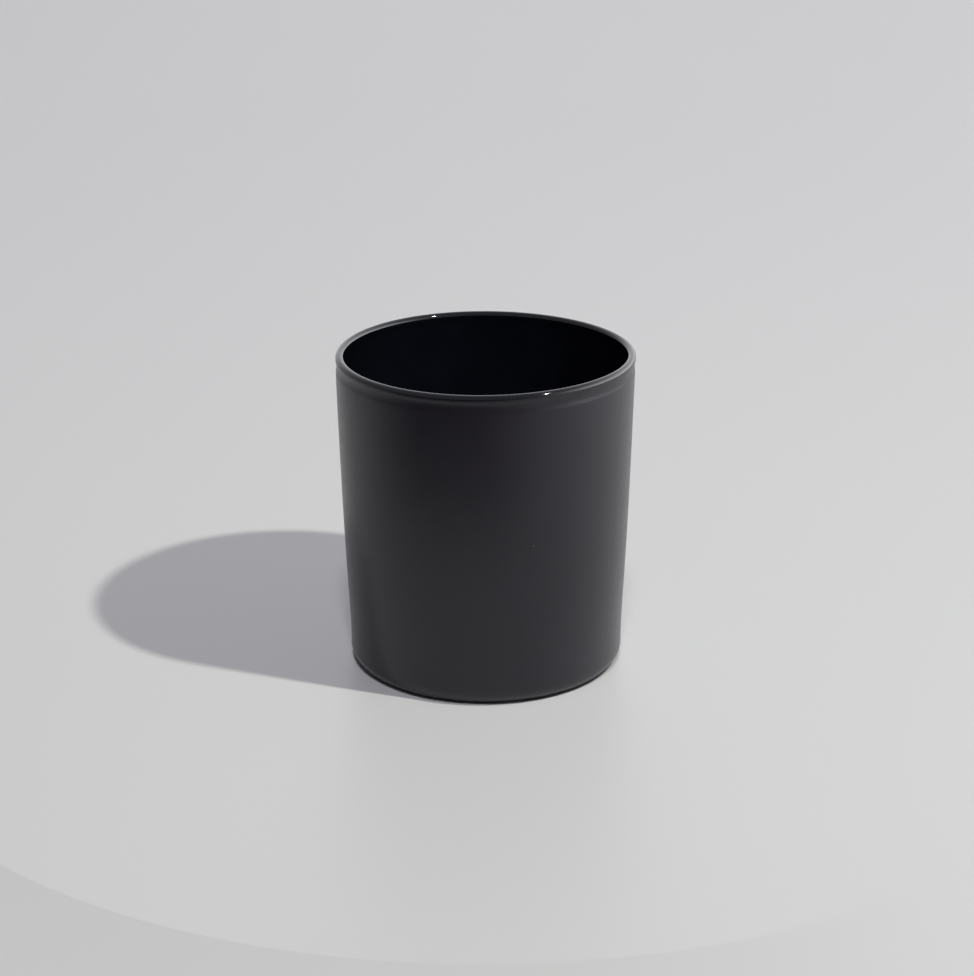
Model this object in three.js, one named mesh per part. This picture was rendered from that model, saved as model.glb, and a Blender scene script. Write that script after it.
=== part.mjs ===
// Empty candle jar: a thick-based glass tumbler with a matte lacquer film sprayed on its outside.
// Millimetres, +Z up. The origin is on the jar's axis, in the plane that the jar stands on.

import * as THREE from 'three';

// Driving dimensions, measured over the lacquer where there is lacquer
const HEIGHT = 86.8; // standing plane to the top of the rim
const RIM_RADIUS = 40; // widest line of the rim bead
const FOOT_RADIUS = 37.23; // straight band above the heel
const HEEL_RADIUS = 4.2; // rounding from the foot band to the standing ring
const BEAD_RADIUS = 1.15; // half the thickness of the fire-polished rim
const FILM = 0.1; // lacquer thickness, feathered to nothing at the bead
const BASE_THICKNESS = 8.5; // standing plane to the inside floor

// Neck: the shallow groove under the bead, and the slight ridge where the wall begins
const NECK_DROP = 3.6; // below the top of the rim
const NECK_RADIUS = RIM_RADIUS - 0.3;
const RIDGE_DROP = 5.1;
const RIDGE_RADIUS = RIM_RADIUS - 0.17;
const WALL_SLOPE = 0.0242; // inward per unit of height, just under the ridge
const SHOULDER_NECK_REACH = 0.6; // curve handles of the shoulder from neck to bead, as parts of its height
const SHOULDER_BEAD_REACH = 0.3;

// Reach of the two curve handles that shape the wall between the foot band and the ridge
const FOOT_HANDLE = 15;
const RIDGE_HANDLE = 65;

// Inside
const MOUTH_RADIUS = 37.8; // inside radius just under the bead
const MOUTH_DROP = 3.2;
const CORNER_RADIUS = 10; // between the inside wall and the inside floor
const CORNER_WALL_RADIUS = 34.2; // inside radius at the top of that corner
const INSIDE_FOOT_HANDLE = 18;
const INSIDE_MOUTH_HANDLE = 30;

// Underside
const RING_INNER_RADIUS = 29; // the bare standing ring runs from here out to the heel
const RECESS_DEPTH = 1; // at the edge of the recess floor
const RECESS_CROWN = 0.3; // further rise at the middle of the recess
const RECESS_FLOOR_RADIUS = 26.5;
const BARE_HEEL_ANGLE = Math.PI / 9; // part of the heel left bare beside the standing ring
const BARE_RING_MARGIN = 0.5; // part of the recess slope left bare beside the standing ring

// Smoothness
const SEGMENTS = 60; // round the axis
const WALL_STEPS = 7;
const BEND_STEPS = 3;
const ARC_STEP = Math.PI / 12;

const beadCentre = new THREE.Vector2(RIM_RADIUS - BEAD_RADIUS, HEIGHT - BEAD_RADIUS);
const heelCentre = new THREE.Vector2(FOOT_RADIUS - HEEL_RADIUS, HEEL_RADIUS - FILM);

// Points of an arc, from one angle to another, both ends included
function arc(centre, radius, fromAngle, toAngle) {
  const steps = Math.max(2, Math.round(Math.abs(toAngle - fromAngle) / ARC_STEP));
  const points = [];
  for (let i = 0; i <= steps; i++) {
    const angle = fromAngle + ((toAngle - fromAngle) * i) / steps;
    points.push(new THREE.Vector2(centre.x + radius * Math.cos(angle), centre.y + radius * Math.sin(angle)));
  }
  return points;
}

// Points of a cubic curve through four [radius, height] controls, both ends included
function bend(controls, steps) {
  const [start, first, second, end] = controls.map(([r, z]) => new THREE.Vector2(r, z));
  return new THREE.CubicBezierCurve(start, first, second, end).getPoints(steps);
}

// Joins runs of points into one outline, dropping the point that two neighbouring runs share
function join(...runs) {
  const outline = [];
  for (const point of runs.flat()) {
    const last = outline[outline.length - 1];
    if (!last || last.distanceTo(point) > 1e-6) outline.push(point);
  }
  return outline;
}

// Outside of the wall from the bare edge of the heel up to the bead's widest line.
// The skin is the distance outside the glass: 0 gives the glass, FILM gives the face of the lacquer.
function wallOutline(skin) {
  const inset = FILM - skin;
  const heel = arc(heelCentre, HEEL_RADIUS - inset, BARE_HEEL_ANGLE - Math.PI / 2, 0);
  const ridgeHeight = HEIGHT - RIDGE_DROP;
  const neckHeight = HEIGHT - NECK_DROP;
  const wall = bend(
    [
      [FOOT_RADIUS - inset, heelCentre.y],
      [FOOT_RADIUS - inset, heelCentre.y + FOOT_HANDLE],
      [RIDGE_RADIUS - inset - WALL_SLOPE * RIDGE_HANDLE, ridgeHeight - RIDGE_HANDLE],
      [RIDGE_RADIUS - inset, ridgeHeight],
    ],
    WALL_STEPS,
  );
  const handle = (RIDGE_DROP - NECK_DROP) / 3;
  const groove = bend(
    [
      [RIDGE_RADIUS - inset, ridgeHeight],
      [RIDGE_RADIUS - inset + WALL_SLOPE * handle, ridgeHeight + handle],
      [NECK_RADIUS - inset, neckHeight - handle],
      [NECK_RADIUS - inset, neckHeight],
    ],
    BEND_STEPS,
  );
  const shoulderHeight = beadCentre.y - neckHeight;
  const shoulder = bend(
    [
      [NECK_RADIUS - inset, neckHeight],
      [NECK_RADIUS - inset, neckHeight + SHOULDER_NECK_REACH * shoulderHeight],
      [RIM_RADIUS, beadCentre.y - SHOULDER_BEAD_REACH * shoulderHeight],
      [RIM_RADIUS, beadCentre.y],
    ],
    BEND_STEPS,
  );
  return join(heel, wall, groove, shoulder);
}

// Recess of the underside, from the axis out to the bare margin beside the standing ring.
// The skin is the distance below the glass: 0 gives the glass, FILM gives the face of the lacquer.
function recessOutline(skin) {
  const middle = RECESS_DEPTH + RECESS_CROWN - skin;
  const edge = RECESS_DEPTH - skin;
  const slope = RECESS_DEPTH / (RING_INNER_RADIUS - RECESS_FLOOR_RADIUS);
  return [
    new THREE.Vector2(0, middle),
    new THREE.Vector2(RECESS_FLOOR_RADIUS / 2, edge + (RECESS_CROWN * 3) / 4),
    new THREE.Vector2(RECESS_FLOOR_RADIUS, edge),
    new THREE.Vector2(RING_INNER_RADIUS - BARE_RING_MARGIN, BARE_RING_MARGIN * slope - skin),
  ];
}

function glassOutline() {
  const standingRing = [new THREE.Vector2(RING_INNER_RADIUS, 0), new THREE.Vector2(heelCentre.x, 0)];
  const bareHeel = arc(heelCentre, heelCentre.y, -Math.PI / 2, BARE_HEEL_ANGLE - Math.PI / 2);
  const rim = arc(beadCentre, BEAD_RADIUS, 0, Math.PI);
  const mouthHeight = HEIGHT - MOUTH_DROP;
  const beadInside = beadCentre.x - BEAD_RADIUS;
  const lipHandle = (beadCentre.y - mouthHeight) / 2;
  const lip = bend(
    [
      [beadInside, beadCentre.y],
      [beadInside, beadCentre.y - lipHandle],
      [MOUTH_RADIUS, mouthHeight + lipHandle],
      [MOUTH_RADIUS, mouthHeight],
    ],
    BEND_STEPS,
  );
  const cornerCentre = new THREE.Vector2(CORNER_WALL_RADIUS - CORNER_RADIUS, BASE_THICKNESS + CORNER_RADIUS);
  const insideWall = bend(
    [
      [MOUTH_RADIUS, mouthHeight],
      [MOUTH_RADIUS - WALL_SLOPE * INSIDE_MOUTH_HANDLE, mouthHeight - INSIDE_MOUTH_HANDLE],
      [CORNER_WALL_RADIUS, cornerCentre.y + INSIDE_FOOT_HANDLE],
      [CORNER_WALL_RADIUS, cornerCentre.y],
    ],
    WALL_STEPS,
  );
  const corner = arc(cornerCentre, CORNER_RADIUS, 0, -Math.PI / 2);
  const floor = [new THREE.Vector2(0, BASE_THICKNESS)];
  return join(recessOutline(0), standingRing, bareHeel, wallOutline(0), rim, lip, insideWall, corner, floor);
}

// Turns an outline of radius and height about +Z
function turned(name, outline, material) {
  const geometry = new THREE.LatheGeometry(outline, SEGMENTS);
  geometry.rotateX(Math.PI / 2);
  const mesh = new THREE.Mesh(geometry, material);
  mesh.name = name;
  return mesh;
}

const blackGlass = new THREE.MeshStandardMaterial({ color: 0x050508, roughness: 0.04, metalness: 0 });
const matteLacquer = new THREE.MeshStandardMaterial({ color: 0x1c1b1e, roughness: 0.5, metalness: 0 });

function glassTumbler() {
  return turned('glass_tumbler', glassOutline(), blackGlass);
}

function wallLacquer() {
  const face = wallOutline(FILM);
  return turned('wall_lacquer', join(face, wallOutline(0).reverse(), [face[0].clone()]), matteLacquer);
}

function baseLacquer() {
  return turned('base_lacquer', join(recessOutline(FILM), recessOutline(0).reverse()), matteLacquer);
}

const candleJar = new THREE.Group();
candleJar.add(glassTumbler(), wallLacquer(), baseLacquer());

export default candleJar;
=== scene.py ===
import math

import bmesh
import bpy
from mathutils import Euler, Matrix, Vector


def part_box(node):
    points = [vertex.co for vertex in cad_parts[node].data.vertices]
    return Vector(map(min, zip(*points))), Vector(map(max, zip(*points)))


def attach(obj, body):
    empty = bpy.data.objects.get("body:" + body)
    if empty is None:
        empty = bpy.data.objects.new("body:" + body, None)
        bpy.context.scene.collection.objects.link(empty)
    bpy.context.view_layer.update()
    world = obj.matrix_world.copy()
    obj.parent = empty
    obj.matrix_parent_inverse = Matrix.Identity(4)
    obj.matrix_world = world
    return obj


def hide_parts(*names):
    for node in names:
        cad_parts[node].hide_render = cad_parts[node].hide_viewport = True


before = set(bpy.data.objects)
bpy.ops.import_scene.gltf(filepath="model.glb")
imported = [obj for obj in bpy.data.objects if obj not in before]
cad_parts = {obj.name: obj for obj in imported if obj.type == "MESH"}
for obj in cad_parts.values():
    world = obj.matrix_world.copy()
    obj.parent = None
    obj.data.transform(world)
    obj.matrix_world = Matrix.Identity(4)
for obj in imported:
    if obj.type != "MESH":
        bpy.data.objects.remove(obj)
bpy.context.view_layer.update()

MM = 0.001

# ---------------------------------------------------------------- sizes, in metres

glass_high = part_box("glass_tumbler")[1]
wall_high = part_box("wall_lacquer")[1]
recess_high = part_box("base_lacquer")[1]

HEIGHT = glass_high.z
RIM_RADIUS = glass_high.x
BEAD_RADIUS = HEIGHT - wall_high.z  # the lacquer ends at the bead's widest line
FILM = 0.1 * MM
FOOT_RADIUS = RIM_RADIUS - 2.77 * MM
HEEL_RADIUS = 4.2 * MM
BARE_HEEL_ANGLE = math.pi / 9

NECK_DROP = 3.6 * MM
NECK_RADIUS = RIM_RADIUS - 0.3 * MM
RIDGE_DROP = 5.1 * MM
RIDGE_RADIUS = RIM_RADIUS - 0.17 * MM
WALL_SLOPE = 0.0242
FOOT_HANDLE = 15 * MM
RIDGE_HANDLE = 65 * MM
SHOULDER_NECK_REACH = 0.6  # curve handles of the shoulder, as parts of its height
SHOULDER_BEAD_REACH = 0.3

MOUTH_RADIUS = RIM_RADIUS - 2.2 * MM
MOUTH_DROP = 3.2 * MM
BASE_THICKNESS = 8.5 * MM
CORNER_RADIUS = 10 * MM
CORNER_WALL_RADIUS = RIM_RADIUS - 5.8 * MM
INSIDE_FOOT_HANDLE = 18 * MM
INSIDE_MOUTH_HANDLE = 30 * MM

BARE_RING_MARGIN = 0.5 * MM
RING_INNER_RADIUS = recess_high.x + BARE_RING_MARGIN
RECESS_CROWN = 0.3 * MM
RECESS_DEPTH = recess_high.z - RECESS_CROWN
RECESS_FLOOR_RADIUS = RING_INNER_RADIUS - 2.5 * MM

# The real rim is fire polished, so it isn't a perfect ring: it stands proud towards +X only,
# and its top rises and falls a little on the way round
RIM_PROUD = 0.2 * MM
RIM_PROUD_HALF_WIDTH = math.radians(70)
RIM_TILT = 0.06 * MM
RIM_WAVE = 0.13 * MM
RIM_FADE = 9 * MM  # how far below the top the unevenness has died away

# A tiny pale speck in the lacquer of the front
SPECK_AZIMUTH = math.radians(18.6)
SPECK_HEIGHT = 45.4 * MM
SPECK_RADIUS = 0.22 * MM
SPECK_COLOUR = (0.1, 0.09, 0.085)

SEGMENTS = 288
WALL_STEPS = 48
BEND_STEPS = 12
ARC_STEP = math.pi / 40
SHARP_ANGLE = math.radians(40)
SAME_POINT = 1e-9

BEAD_CENTRE = (RIM_RADIUS - BEAD_RADIUS, HEIGHT - BEAD_RADIUS)
HEEL_CENTRE = (FOOT_RADIUS - HEEL_RADIUS, HEEL_RADIUS - FILM)


# ---------------------------------------------------------------- outlines of radius and height


def arc(centre, radius, start, end):
    """Points of an arc between two angles, both ends included."""
    steps = max(2, round(abs(end - start) / ARC_STEP))
    angles = [start + (end - start) * i / steps for i in range(steps + 1)]
    return [(centre[0] + radius * math.cos(a), centre[1] + radius * math.sin(a)) for a in angles]


def bend(p0, p1, p2, p3, steps=BEND_STEPS):
    """Points of a cubic curve through four controls, both ends included."""
    points = []
    for i in range(steps + 1):
        t = i / steps
        weights = ((1 - t) ** 3, 3 * t * (1 - t) ** 2, 3 * t * t * (1 - t), t**3)
        points.append(tuple(sum(w * p[k] for w, p in zip(weights, (p0, p1, p2, p3))) for k in (0, 1)))
    return points


def join(*runs):
    """One outline from several runs, without the points that neighbours share."""
    outline = []
    for point in (p for run in runs for p in run):
        if not outline or math.dist(outline[-1], point) > SAME_POINT:
            outline.append(point)
    return outline


def wall_outline(skin):
    """Outside of the wall, from the bare edge of the heel up to the bead's widest line."""
    inset = FILM - skin
    ridge_height = HEIGHT - RIDGE_DROP
    neck_height = HEIGHT - NECK_DROP
    heel = arc(HEEL_CENTRE, HEEL_RADIUS - inset, BARE_HEEL_ANGLE - math.pi / 2, 0)
    wall = bend(
        (FOOT_RADIUS - inset, HEEL_CENTRE[1]),
        (FOOT_RADIUS - inset, HEEL_CENTRE[1] + FOOT_HANDLE),
        (RIDGE_RADIUS - inset - WALL_SLOPE * RIDGE_HANDLE, ridge_height - RIDGE_HANDLE),
        (RIDGE_RADIUS - inset, ridge_height),
        WALL_STEPS,
    )
    handle = (RIDGE_DROP - NECK_DROP) / 3
    groove = bend(
        (RIDGE_RADIUS - inset, ridge_height),
        (RIDGE_RADIUS - inset + WALL_SLOPE * handle, ridge_height + handle),
        (NECK_RADIUS - inset, neck_height - handle),
        (NECK_RADIUS - inset, neck_height),
    )
    shoulder_height = BEAD_CENTRE[1] - neck_height
    shoulder = bend(
        (NECK_RADIUS - inset, neck_height),
        (NECK_RADIUS - inset, neck_height + SHOULDER_NECK_REACH * shoulder_height),
        (RIM_RADIUS, BEAD_CENTRE[1] - SHOULDER_BEAD_REACH * shoulder_height),
        (RIM_RADIUS, BEAD_CENTRE[1]),
    )
    return join(heel, wall, groove, shoulder)


def recess_outline(skin):
    """Recess of the underside, from the axis out to the bare margin beside the standing ring."""
    dome = []
    for i in range(WALL_STEPS + 1):
        share = i / WALL_STEPS
        height = RECESS_DEPTH + RECESS_CROWN * (1 - share**2) - skin
        dome.append((RECESS_FLOOR_RADIUS * share, height))
    slope = RECESS_DEPTH / (RING_INNER_RADIUS - RECESS_FLOOR_RADIUS)
    return join(dome, [(recess_high.x, BARE_RING_MARGIN * slope - skin)])


def glass_outline():
    """The whole glass: underside, outside, rim and inside."""
    ring = [(RING_INNER_RADIUS, 0), (HEEL_CENTRE[0], 0)]
    bare_heel = arc(HEEL_CENTRE, HEEL_CENTRE[1], -math.pi / 2, BARE_HEEL_ANGLE - math.pi / 2)
    rim = arc(BEAD_CENTRE, BEAD_RADIUS, 0, math.pi)
    mouth_height = HEIGHT - MOUTH_DROP
    bead_inside = BEAD_CENTRE[0] - BEAD_RADIUS
    handle = (BEAD_CENTRE[1] - mouth_height) / 2
    lip = bend(
        (bead_inside, BEAD_CENTRE[1]),
        (bead_inside, BEAD_CENTRE[1] - handle),
        (MOUTH_RADIUS, mouth_height + handle),
        (MOUTH_RADIUS, mouth_height),
    )
    corner_centre = (CORNER_WALL_RADIUS - CORNER_RADIUS, BASE_THICKNESS + CORNER_RADIUS)
    inside_wall = bend(
        (MOUTH_RADIUS, mouth_height),
        (MOUTH_RADIUS - WALL_SLOPE * INSIDE_MOUTH_HANDLE, mouth_height - INSIDE_MOUTH_HANDLE),
        (CORNER_WALL_RADIUS, corner_centre[1] + INSIDE_FOOT_HANDLE),
        (CORNER_WALL_RADIUS, corner_centre[1]),
        WALL_STEPS,
    )
    corner = arc(corner_centre, CORNER_RADIUS, 0, -math.pi / 2)
    floor = [(0, BASE_THICKNESS)]
    return join(recess_outline(0), ring, bare_heel, wall_outline(0), rim, lip, inside_wall, corner, floor)


# ---------------------------------------------------------------- meshes


def uneven_rim(radius, height, angle):
    """Moves a point near the rim as fire polishing leaves it, always inside the true ring."""
    near_top = max(0.0, 1 - (HEIGHT - height) / RIM_FADE)
    weight = near_top**2 * (3 - 2 * near_top)
    away = abs(math.remainder(angle, 2 * math.pi)) / RIM_PROUD_HALF_WIDTH
    proud = 0.5 + 0.5 * math.cos(math.pi * min(1.0, away))
    sink = RIM_TILT * (1 - math.cos(angle)) + RIM_WAVE * (1 + math.sin(2 * angle))
    return radius - weight * RIM_PROUD * (1 - proud), height - weight * sink


def turned(name, outline, closed=False):
    """A closed mesh from an outline turned about +Z; on-axis points become single vertices."""
    vertices = []
    rows = []
    for radius, height in outline:
        if radius < SAME_POINT:
            rows.append([len(vertices)] * SEGMENTS)
            vertices.append((0, 0, height))
            continue
        rows.append(list(range(len(vertices), len(vertices) + SEGMENTS)))
        for i in range(SEGMENTS):
            angle = 2 * math.pi * i / SEGMENTS
            r, z = uneven_rim(radius, height, angle)
            vertices.append((r * math.cos(angle), r * math.sin(angle), z))
    faces = []
    above = rows[1:] + rows[:1] if closed else rows[1:]
    for low, high in zip(rows, above):
        for i in range(SEGMENTS):
            j = (i + 1) % SEGMENTS
            corners = [low[i], low[j], high[j], high[i]]
            faces.append(list(dict.fromkeys(corners)))
    mesh = bpy.data.meshes.new(name)
    mesh.from_pydata(vertices, [], faces)
    mesh.validate()
    mesh.polygons.foreach_set("use_smooth", [True] * len(mesh.polygons))
    mesh.set_sharp_from_angle(angle=SHARP_ANGLE)
    piece = bpy.data.objects.new(name, mesh)
    bpy.context.scene.collection.objects.link(piece)
    return piece


def show(piece, node, material):
    """Puts a finished piece in place of its CAD node."""
    piece.data.materials.append(material)
    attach(piece, "root")
    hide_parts(node)


# ---------------------------------------------------------------- materials

# Scales of noise are in features per metre, and each range of noise is the part that is used
GLASS_IOR = 1.52
GLASS_TINTS = (0.0040, 0.0048, 0.0080), (0.0055, 0.0064, 0.0100)
GLASS_TINT_SCALE = 60
GLASS_TINT_RANGE = 0.35, 0.65
GLASS_SMUDGE_SCALE = 90
GLASS_SMUDGE_RANGE = 0.4, 0.75
GLASS_ROUGHNESS = 0.03, 0.09
GLASS_WAVE_SCALE = 120
GLASS_WAVE_HEIGHT = 0.02 * MM

LACQUER_IOR = 1.5
LACQUER_TINTS = (0.0110, 0.0088, 0.0150), (0.0130, 0.0105, 0.0174)
LACQUER_TINT_SCALE = 45
LACQUER_TINT_RANGE = 0.35, 0.65
LACQUER_SHEEN_SCALE = 900
LACQUER_SHEEN_RANGE = 0.3, 0.7
LACQUER_ROUGHNESS = 0.28, 0.34
LACQUER_PEEL_SCALE = 1100
LACQUER_PEEL_HEIGHT = 0.004 * MM
LACQUER_GRAIN_SCALE = 6500
LACQUER_GRAIN_HEIGHT = 0.0012 * MM

FLOOR_TINTS = (0.76, 0.76, 0.762), (0.78, 0.78, 0.78)
FLOOR_TINT_SCALE = 1.5
FLOOR_TINT_RANGE = 0.3, 0.7
FLOOR_ROUGHNESS = 0.42
FLOOR_SHEEN = 0.4


def new_material(name):
    """A node material with its Principled shader."""
    material = bpy.data.materials.new(name)
    material.use_nodes = True
    tree = material.node_tree
    return material, tree, tree.nodes["Principled BSDF"]


def noise(tree, scale, detail=2.0):
    """Noise in object space."""
    coordinates = tree.nodes.new("ShaderNodeTexCoord")
    texture = tree.nodes.new("ShaderNodeTexNoise")
    texture.inputs["Scale"].default_value = scale
    texture.inputs["Detail"].default_value = detail
    tree.links.new(coordinates.outputs["Object"], texture.inputs["Vector"])
    return texture.outputs["Fac"]


def remap(tree, value, source, target):
    """A value moved from one range to another, and held inside the second."""
    node = tree.nodes.new("ShaderNodeMapRange")
    for socket, number in zip(node.inputs[1:5], (*source, *target)):
        socket.default_value = number
    tree.links.new(value, node.inputs["Value"])
    return node.outputs["Result"]


def bump(tree, height, distance, after=None):
    """A bump of a real height in metres."""
    node = tree.nodes.new("ShaderNodeBump")
    node.inputs["Distance"].default_value = distance
    tree.links.new(height, node.inputs["Height"])
    if after is not None:
        tree.links.new(after, node.inputs["Normal"])
    return node.outputs["Normal"]


def mix_colours(tree, share, first, second):
    """Two colours mixed by a share."""
    node = tree.nodes.new("ShaderNodeMix")
    node.data_type = "RGBA"
    node.inputs["A"].default_value = (*first, 1)
    node.inputs["B"].default_value = (*second, 1)
    tree.links.new(share, node.inputs["Factor"])
    return node.outputs["Result"]


def clouded_colour(tree, shader, tints, scale, used, detail=2.0):
    """A base colour that drifts between two tints."""
    cloud = remap(tree, noise(tree, scale, detail), used, (0, 1))
    colour = mix_colours(tree, cloud, *tints)
    tree.links.new(colour, shader.inputs["Base Color"])
    return colour


def vector_maths(tree, operation, place, other):
    """A vector node between a place that varies and a fixed vector."""
    node = tree.nodes.new("ShaderNodeVectorMath")
    node.operation = operation
    node.inputs[1].default_value = other
    tree.links.new(place, node.inputs[0])
    return node.outputs["Value"]


def black_glass():
    """Glossy near-black glass with the faint waves of formed glass."""
    material, tree, shader = new_material("black_glass")
    shader.inputs["IOR"].default_value = GLASS_IOR
    clouded_colour(tree, shader, GLASS_TINTS, GLASS_TINT_SCALE, GLASS_TINT_RANGE)
    smudge = remap(tree, noise(tree, GLASS_SMUDGE_SCALE, detail=4), GLASS_SMUDGE_RANGE, GLASS_ROUGHNESS)
    tree.links.new(smudge, shader.inputs["Roughness"])
    waves = bump(tree, noise(tree, GLASS_WAVE_SCALE, detail=1), GLASS_WAVE_HEIGHT)
    tree.links.new(waves, shader.inputs["Normal"])
    return material


def on_wall(azimuth, height):
    """The point of the wall's face at an azimuth from the camera's side towards +X."""
    outline = wall_outline(FILM)
    radius = min(outline, key=lambda point: abs(point[1] - height))[0]
    return (radius * math.sin(azimuth), -radius * math.cos(azimuth), height)


def add_speck(tree, shader, colour):
    """Lightens the colour inside one tiny spot of the wall."""
    place = tree.nodes.new("ShaderNodeTexCoord").outputs["Object"]
    away = vector_maths(tree, "DISTANCE", place, on_wall(SPECK_AZIMUTH, SPECK_HEIGHT))
    spot = remap(tree, away, (SPECK_RADIUS / 2, SPECK_RADIUS), (1, 0))
    marked = tree.nodes.new("ShaderNodeVectorMath")
    marked.operation = "ADD"
    tree.links.new(colour, marked.inputs[0])
    tree.links.new(mix_colours(tree, spot, (0, 0, 0), SPECK_COLOUR), marked.inputs[1])
    tree.links.new(marked.outputs["Vector"], shader.inputs["Base Color"])


def matte_lacquer():
    """Sprayed matte lacquer: fine grain, faint orange peel and slightly uneven sheen."""
    material, tree, shader = new_material("matte_lacquer")
    shader.inputs["IOR"].default_value = LACQUER_IOR
    colour = clouded_colour(tree, shader, LACQUER_TINTS, LACQUER_TINT_SCALE, LACQUER_TINT_RANGE, detail=3)
    add_speck(tree, shader, colour)
    sheen = remap(tree, noise(tree, LACQUER_SHEEN_SCALE, detail=3), LACQUER_SHEEN_RANGE, LACQUER_ROUGHNESS)
    tree.links.new(sheen, shader.inputs["Roughness"])
    peel = bump(tree, noise(tree, LACQUER_PEEL_SCALE), LACQUER_PEEL_HEIGHT)
    grain = bump(tree, noise(tree, LACQUER_GRAIN_SCALE), LACQUER_GRAIN_HEIGHT, after=peel)
    tree.links.new(grain, shader.inputs["Normal"])
    return material


# ---------------------------------------------------------------- studio

FLOOR_SIZE = 8.0

CAMERA_AIM_HEIGHT = 45 * MM  # of the point on the jar's axis that the distance runs to
CAMERA_DISTANCE = 0.65
CAMERA_ELEVATION = math.radians(20.29)
CAMERA_PITCH = math.radians(20.054)
CAMERA_YAW = math.radians(0.034)
CAMERA_ROLL = math.radians(-0.16)
CAMERA_LENS = 88.306
CAMERA_NEAREST = 0.01
CAMERA_FARTHEST = 50

AMBIENT = (0.079, 0.078, 0.083)

# Azimuths run from the camera's side of the jar towards +X
FILL_AZIMUTH = 0
FILL_ELEVATION = math.radians(60)
FILL_ANGLE = math.radians(8)
FILL_COLOUR = (1.0, 0.985, 1.055)
FILL_STRENGTH = 1.02

KEY_AZIMUTH = math.radians(57)
KEY_ELEVATION = math.radians(56.7)
KEY_DISTANCE = 0.428
KEY_RADIUS = 7 * MM
KEY_POWER = 19.5
KEY_COLOUR = (0.985, 1.0, 0.929)
KEY_REACH = 0.35  # power of the distance that its strength grows by; 1 would light the floor evenly

# What the gloss reflects above the floor: the room's radiance, then each soft light's azimuth,
# elevation, tightness and radiance
ROOM = (0.3, 0.3, 0.315)
SOFT_LIGHTS = (
    (math.radians(180), math.radians(12), 4, 0.9),
    (math.radians(125), math.radians(10), 9, 2.4),
    (math.radians(88), math.radians(8), 9, 3.4),
)
DOME_RADIUS = 3.0
DOME_SEGMENTS = 48

# A dark card that only reflections see; it is densest in its middle part and fades to its ends
FLAG_RADIUS = 0.165
FLAG_HEIGHT = 0.11
FLAG_MIDDLE = math.radians(-25)
FLAG_HALF_WIDTH = math.radians(62)
FLAG_DENSE_HALF_WIDTH = FLAG_HALF_WIDTH / 3
FLAG_COVER = 0.85
FLAG_STEPS = 32


def add_camera():
    """The photographer's view."""
    data = bpy.data.cameras.new("camera")
    data.lens = CAMERA_LENS
    data.clip_start = CAMERA_NEAREST
    data.clip_end = CAMERA_FARTHEST
    camera = bpy.data.objects.new("camera", data)
    bpy.context.scene.collection.objects.link(camera)
    camera.location = (
        0,
        -CAMERA_DISTANCE * math.cos(CAMERA_ELEVATION),
        CAMERA_AIM_HEIGHT + CAMERA_DISTANCE * math.sin(CAMERA_ELEVATION),
    )
    turn = Euler((math.pi / 2 - CAMERA_PITCH, 0, -CAMERA_YAW)).to_matrix()
    roll = Matrix.Rotation(CAMERA_ROLL, 3, "Z")
    camera.rotation_euler = (turn @ roll).to_euler()
    bpy.context.scene.camera = camera


def add_floor():
    """A wide plain pale floor."""
    half = FLOOR_SIZE / 2
    corners = [(-half, -half, 0), (half, -half, 0), (half, half, 0), (-half, half, 0)]
    mesh = bpy.data.meshes.new("floor")
    mesh.from_pydata(corners, [], [(0, 1, 2, 3)])
    floor = bpy.data.objects.new("floor", mesh)
    bpy.context.scene.collection.objects.link(floor)
    material, tree, shader = new_material("pale_floor")
    shader.inputs["Roughness"].default_value = FLOOR_ROUGHNESS
    shader.inputs["Specular IOR Level"].default_value = FLOOR_SHEEN
    clouded_colour(tree, shader, FLOOR_TINTS, FLOOR_TINT_SCALE, FLOOR_TINT_RANGE)
    mesh.materials.append(material)


def towards(azimuth, elevation):
    """The direction of a light from the jar."""
    level = math.cos(elevation)
    return Vector((level * math.sin(azimuth), -level * math.cos(azimuth), math.sin(elevation)))


def maths(tree, operation, first, second, third=0.0):
    """A maths node on values or plain numbers."""
    node = tree.nodes.new("ShaderNodeMath")
    node.operation = operation
    for socket, value in zip(node.inputs, (first, second, third)):
        if isinstance(value, bpy.types.NodeSocket):
            tree.links.new(value, socket)
        else:
            socket.default_value = value
    return node.outputs["Value"]


def add_key_light():
    """One small hard light, high on the right and in front, that weakens slowly with distance."""
    data = bpy.data.lights.new("key", "POINT")
    data.energy = KEY_POWER
    data.color = KEY_COLOUR
    data.shadow_soft_size = KEY_RADIUS
    data.use_nodes = True
    tree = data.node_tree
    falloff = tree.nodes.new("ShaderNodeLightFalloff")
    falloff.inputs["Strength"].default_value = KEY_DISTANCE**-KEY_REACH
    path = tree.nodes.new("ShaderNodeLightPath")
    growth = maths(tree, "POWER", path.outputs["Ray Length"], KEY_REACH)
    strength = maths(tree, "MULTIPLY", falloff.outputs["Constant"], growth)
    tree.links.new(strength, tree.nodes["Emission"].inputs["Strength"])
    key = bpy.data.objects.new("key", data)
    bpy.context.scene.collection.objects.link(key)
    key.location = KEY_DISTANCE * towards(KEY_AZIMUTH, KEY_ELEVATION)


def add_fill_light():
    """Broad light from high in front, whose own shadow falls behind the jar; it has no highlight."""
    data = bpy.data.lights.new("fill", "SUN")
    data.energy = FILL_STRENGTH
    data.color = FILL_COLOUR
    data.angle = FILL_ANGLE
    fill = bpy.data.objects.new("fill", data)
    bpy.context.scene.collection.objects.link(fill)
    fill.rotation_euler = towards(FILL_AZIMUTH, FILL_ELEVATION).to_track_quat("Z", "Y").to_euler()
    fill.visible_glossy = False


def add_world():
    """Weak light from all round."""
    world = bpy.data.worlds.new("studio")
    world.use_nodes = True
    background = world.node_tree.nodes["Background"]
    background.inputs["Color"].default_value = (*AMBIENT, 1)
    bpy.context.scene.world = world


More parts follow.
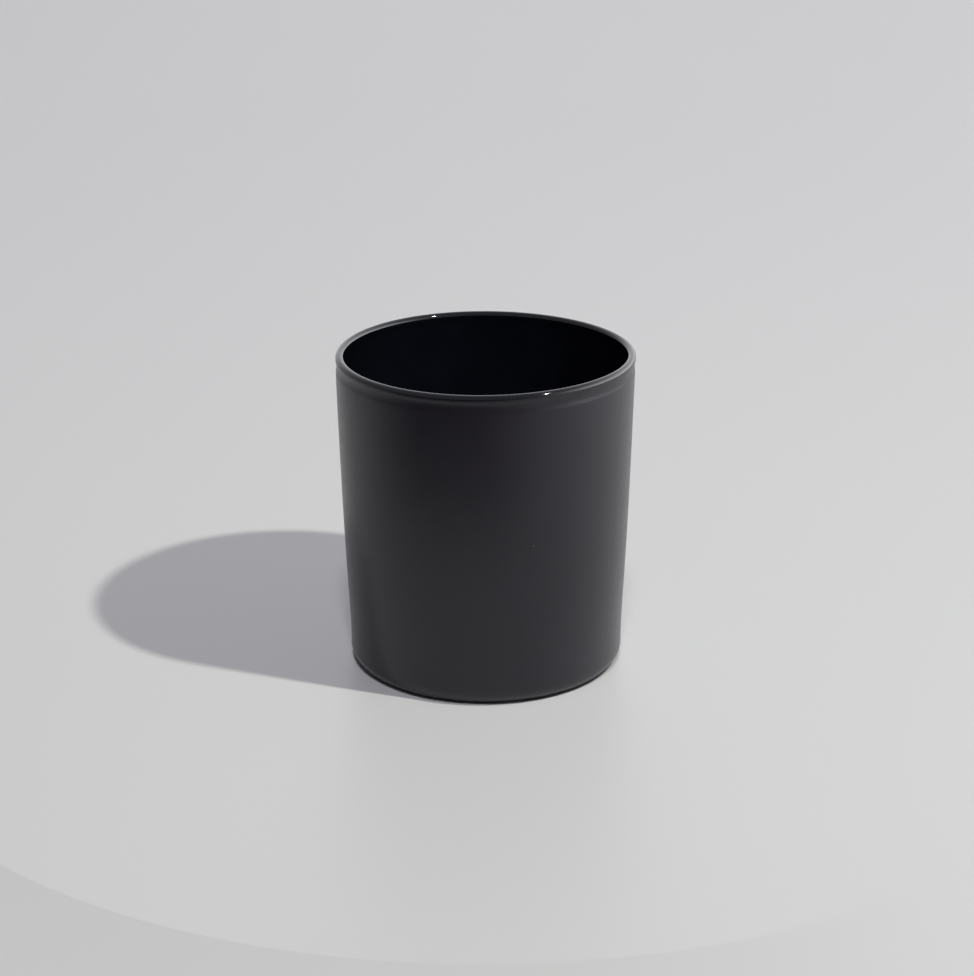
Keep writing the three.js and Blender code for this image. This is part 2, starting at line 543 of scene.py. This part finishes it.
def reflection_only(name, mesh):
    """A glowing or dark surface that is seen in reflections and casts no light or shadow."""
    material = bpy.data.materials.new(name)
    material.use_nodes = True
    material.cycles.emission_sampling = "NONE"
    tree = material.node_tree
    tree.nodes.remove(tree.nodes["Principled BSDF"])
    emission = tree.nodes.new("ShaderNodeEmission")
    tree.links.new(emission.outputs["Emission"], tree.nodes["Material Output"].inputs["Surface"])
    mesh.materials.append(material)
    card = bpy.data.objects.new(name, mesh)
    bpy.context.scene.collection.objects.link(card)
    card.visible_camera = False
    card.visible_diffuse = False
    card.visible_shadow = False
    card.visible_transmission = False
    return card, tree, emission


def add_reflected_dome():
    """The room and the soft lights that the glossy rim reflects; also the backdrop of low views."""
    mesh = bpy.data.meshes.new("dome")
    shape = bmesh.new()
    rings = DOME_SEGMENTS // 2
    bmesh.ops.create_uvsphere(shape, u_segments=DOME_SEGMENTS, v_segments=rings, radius=DOME_RADIUS)
    shape.to_mesh(mesh)
    shape.free()
    dome, tree, emission = reflection_only("dome", mesh)
    dome.visible_camera = True
    emission.inputs["Color"].default_value = (*ROOM, 1)
    place = tree.nodes.new("ShaderNodeNewGeometry").outputs["Position"]
    total = 1.0
    for azimuth, elevation, tightness, radiance in SOFT_LIGHTS:
        facing = vector_maths(tree, "DOT_PRODUCT", place, towards(azimuth, elevation) / DOME_RADIUS)
        spread = maths(tree, "MULTIPLY_ADD", facing, tightness, -tightness)
        glow = maths(tree, "EXPONENT", spread, 0.0)
        total = maths(tree, "MULTIPLY_ADD", glow, radiance / ROOM[0], total)
    tree.links.new(total, emission.inputs["Strength"])


def add_flag():
    """A dark card round the front left, which the upper part of the wall reflects."""
    mesh = bpy.data.meshes.new("flag")
    rise = Vector((0, 0, FLAG_HEIGHT))
    vertices = []
    for i in range(FLAG_STEPS + 1):
        foot = FLAG_RADIUS * towards(FLAG_MIDDLE + FLAG_HALF_WIDTH * (2 * i / FLAG_STEPS - 1), 0)
        vertices += [tuple(foot), tuple(foot + rise)]
    faces = [(2 * i, 2 * i + 2, 2 * i + 3, 2 * i + 1) for i in range(FLAG_STEPS)]
    mesh.from_pydata(vertices, [], faces)
    _, tree, emission = reflection_only("flag", mesh)
    emission.inputs["Strength"].default_value = 0.0
    place = tree.nodes.new("ShaderNodeNewGeometry").outputs["Position"]
    facing = vector_maths(tree, "DOT_PRODUCT", place, towards(FLAG_MIDDLE, 0) / FLAG_RADIUS)
    fade = math.cos(FLAG_HALF_WIDTH), math.cos(FLAG_DENSE_HALF_WIDTH)
    cover = remap(tree, facing, fade, (0, FLAG_COVER))
    clear = tree.nodes.new("ShaderNodeBsdfTransparent")
    blend = tree.nodes.new("ShaderNodeMixShader")
    tree.links.new(cover, blend.inputs["Fac"])
    tree.links.new(clear.outputs["BSDF"], blend.inputs[1])
    tree.links.new(emission.outputs["Emission"], blend.inputs[2])
    tree.links.new(blend.outputs["Shader"], tree.nodes["Material Output"].inputs["Surface"])


# ---------------------------------------------------------------- the jar


def build_jar():
    """Glass, wall lacquer and base lacquer."""
    glass_material = black_glass()
    lacquer_material = matte_lacquer()
    show(turned("glass", glass_outline()), "glass_tumbler", glass_material)
    wall = join(wall_outline(FILM), reversed(wall_outline(0)))
    show(turned("wall_coat", wall, closed=True), "wall_lacquer", lacquer_material)
    base = join(recess_outline(FILM), reversed(recess_outline(0)))
    show(turned("base_coat", base), "base_lacquer", lacquer_material)


add_camera()
add_floor()
add_key_light()
add_fill_light()
add_world()
add_reflected_dome()
add_flag()
build_jar()
bpy.context.scene.view_settings.view_transform = "Standard"
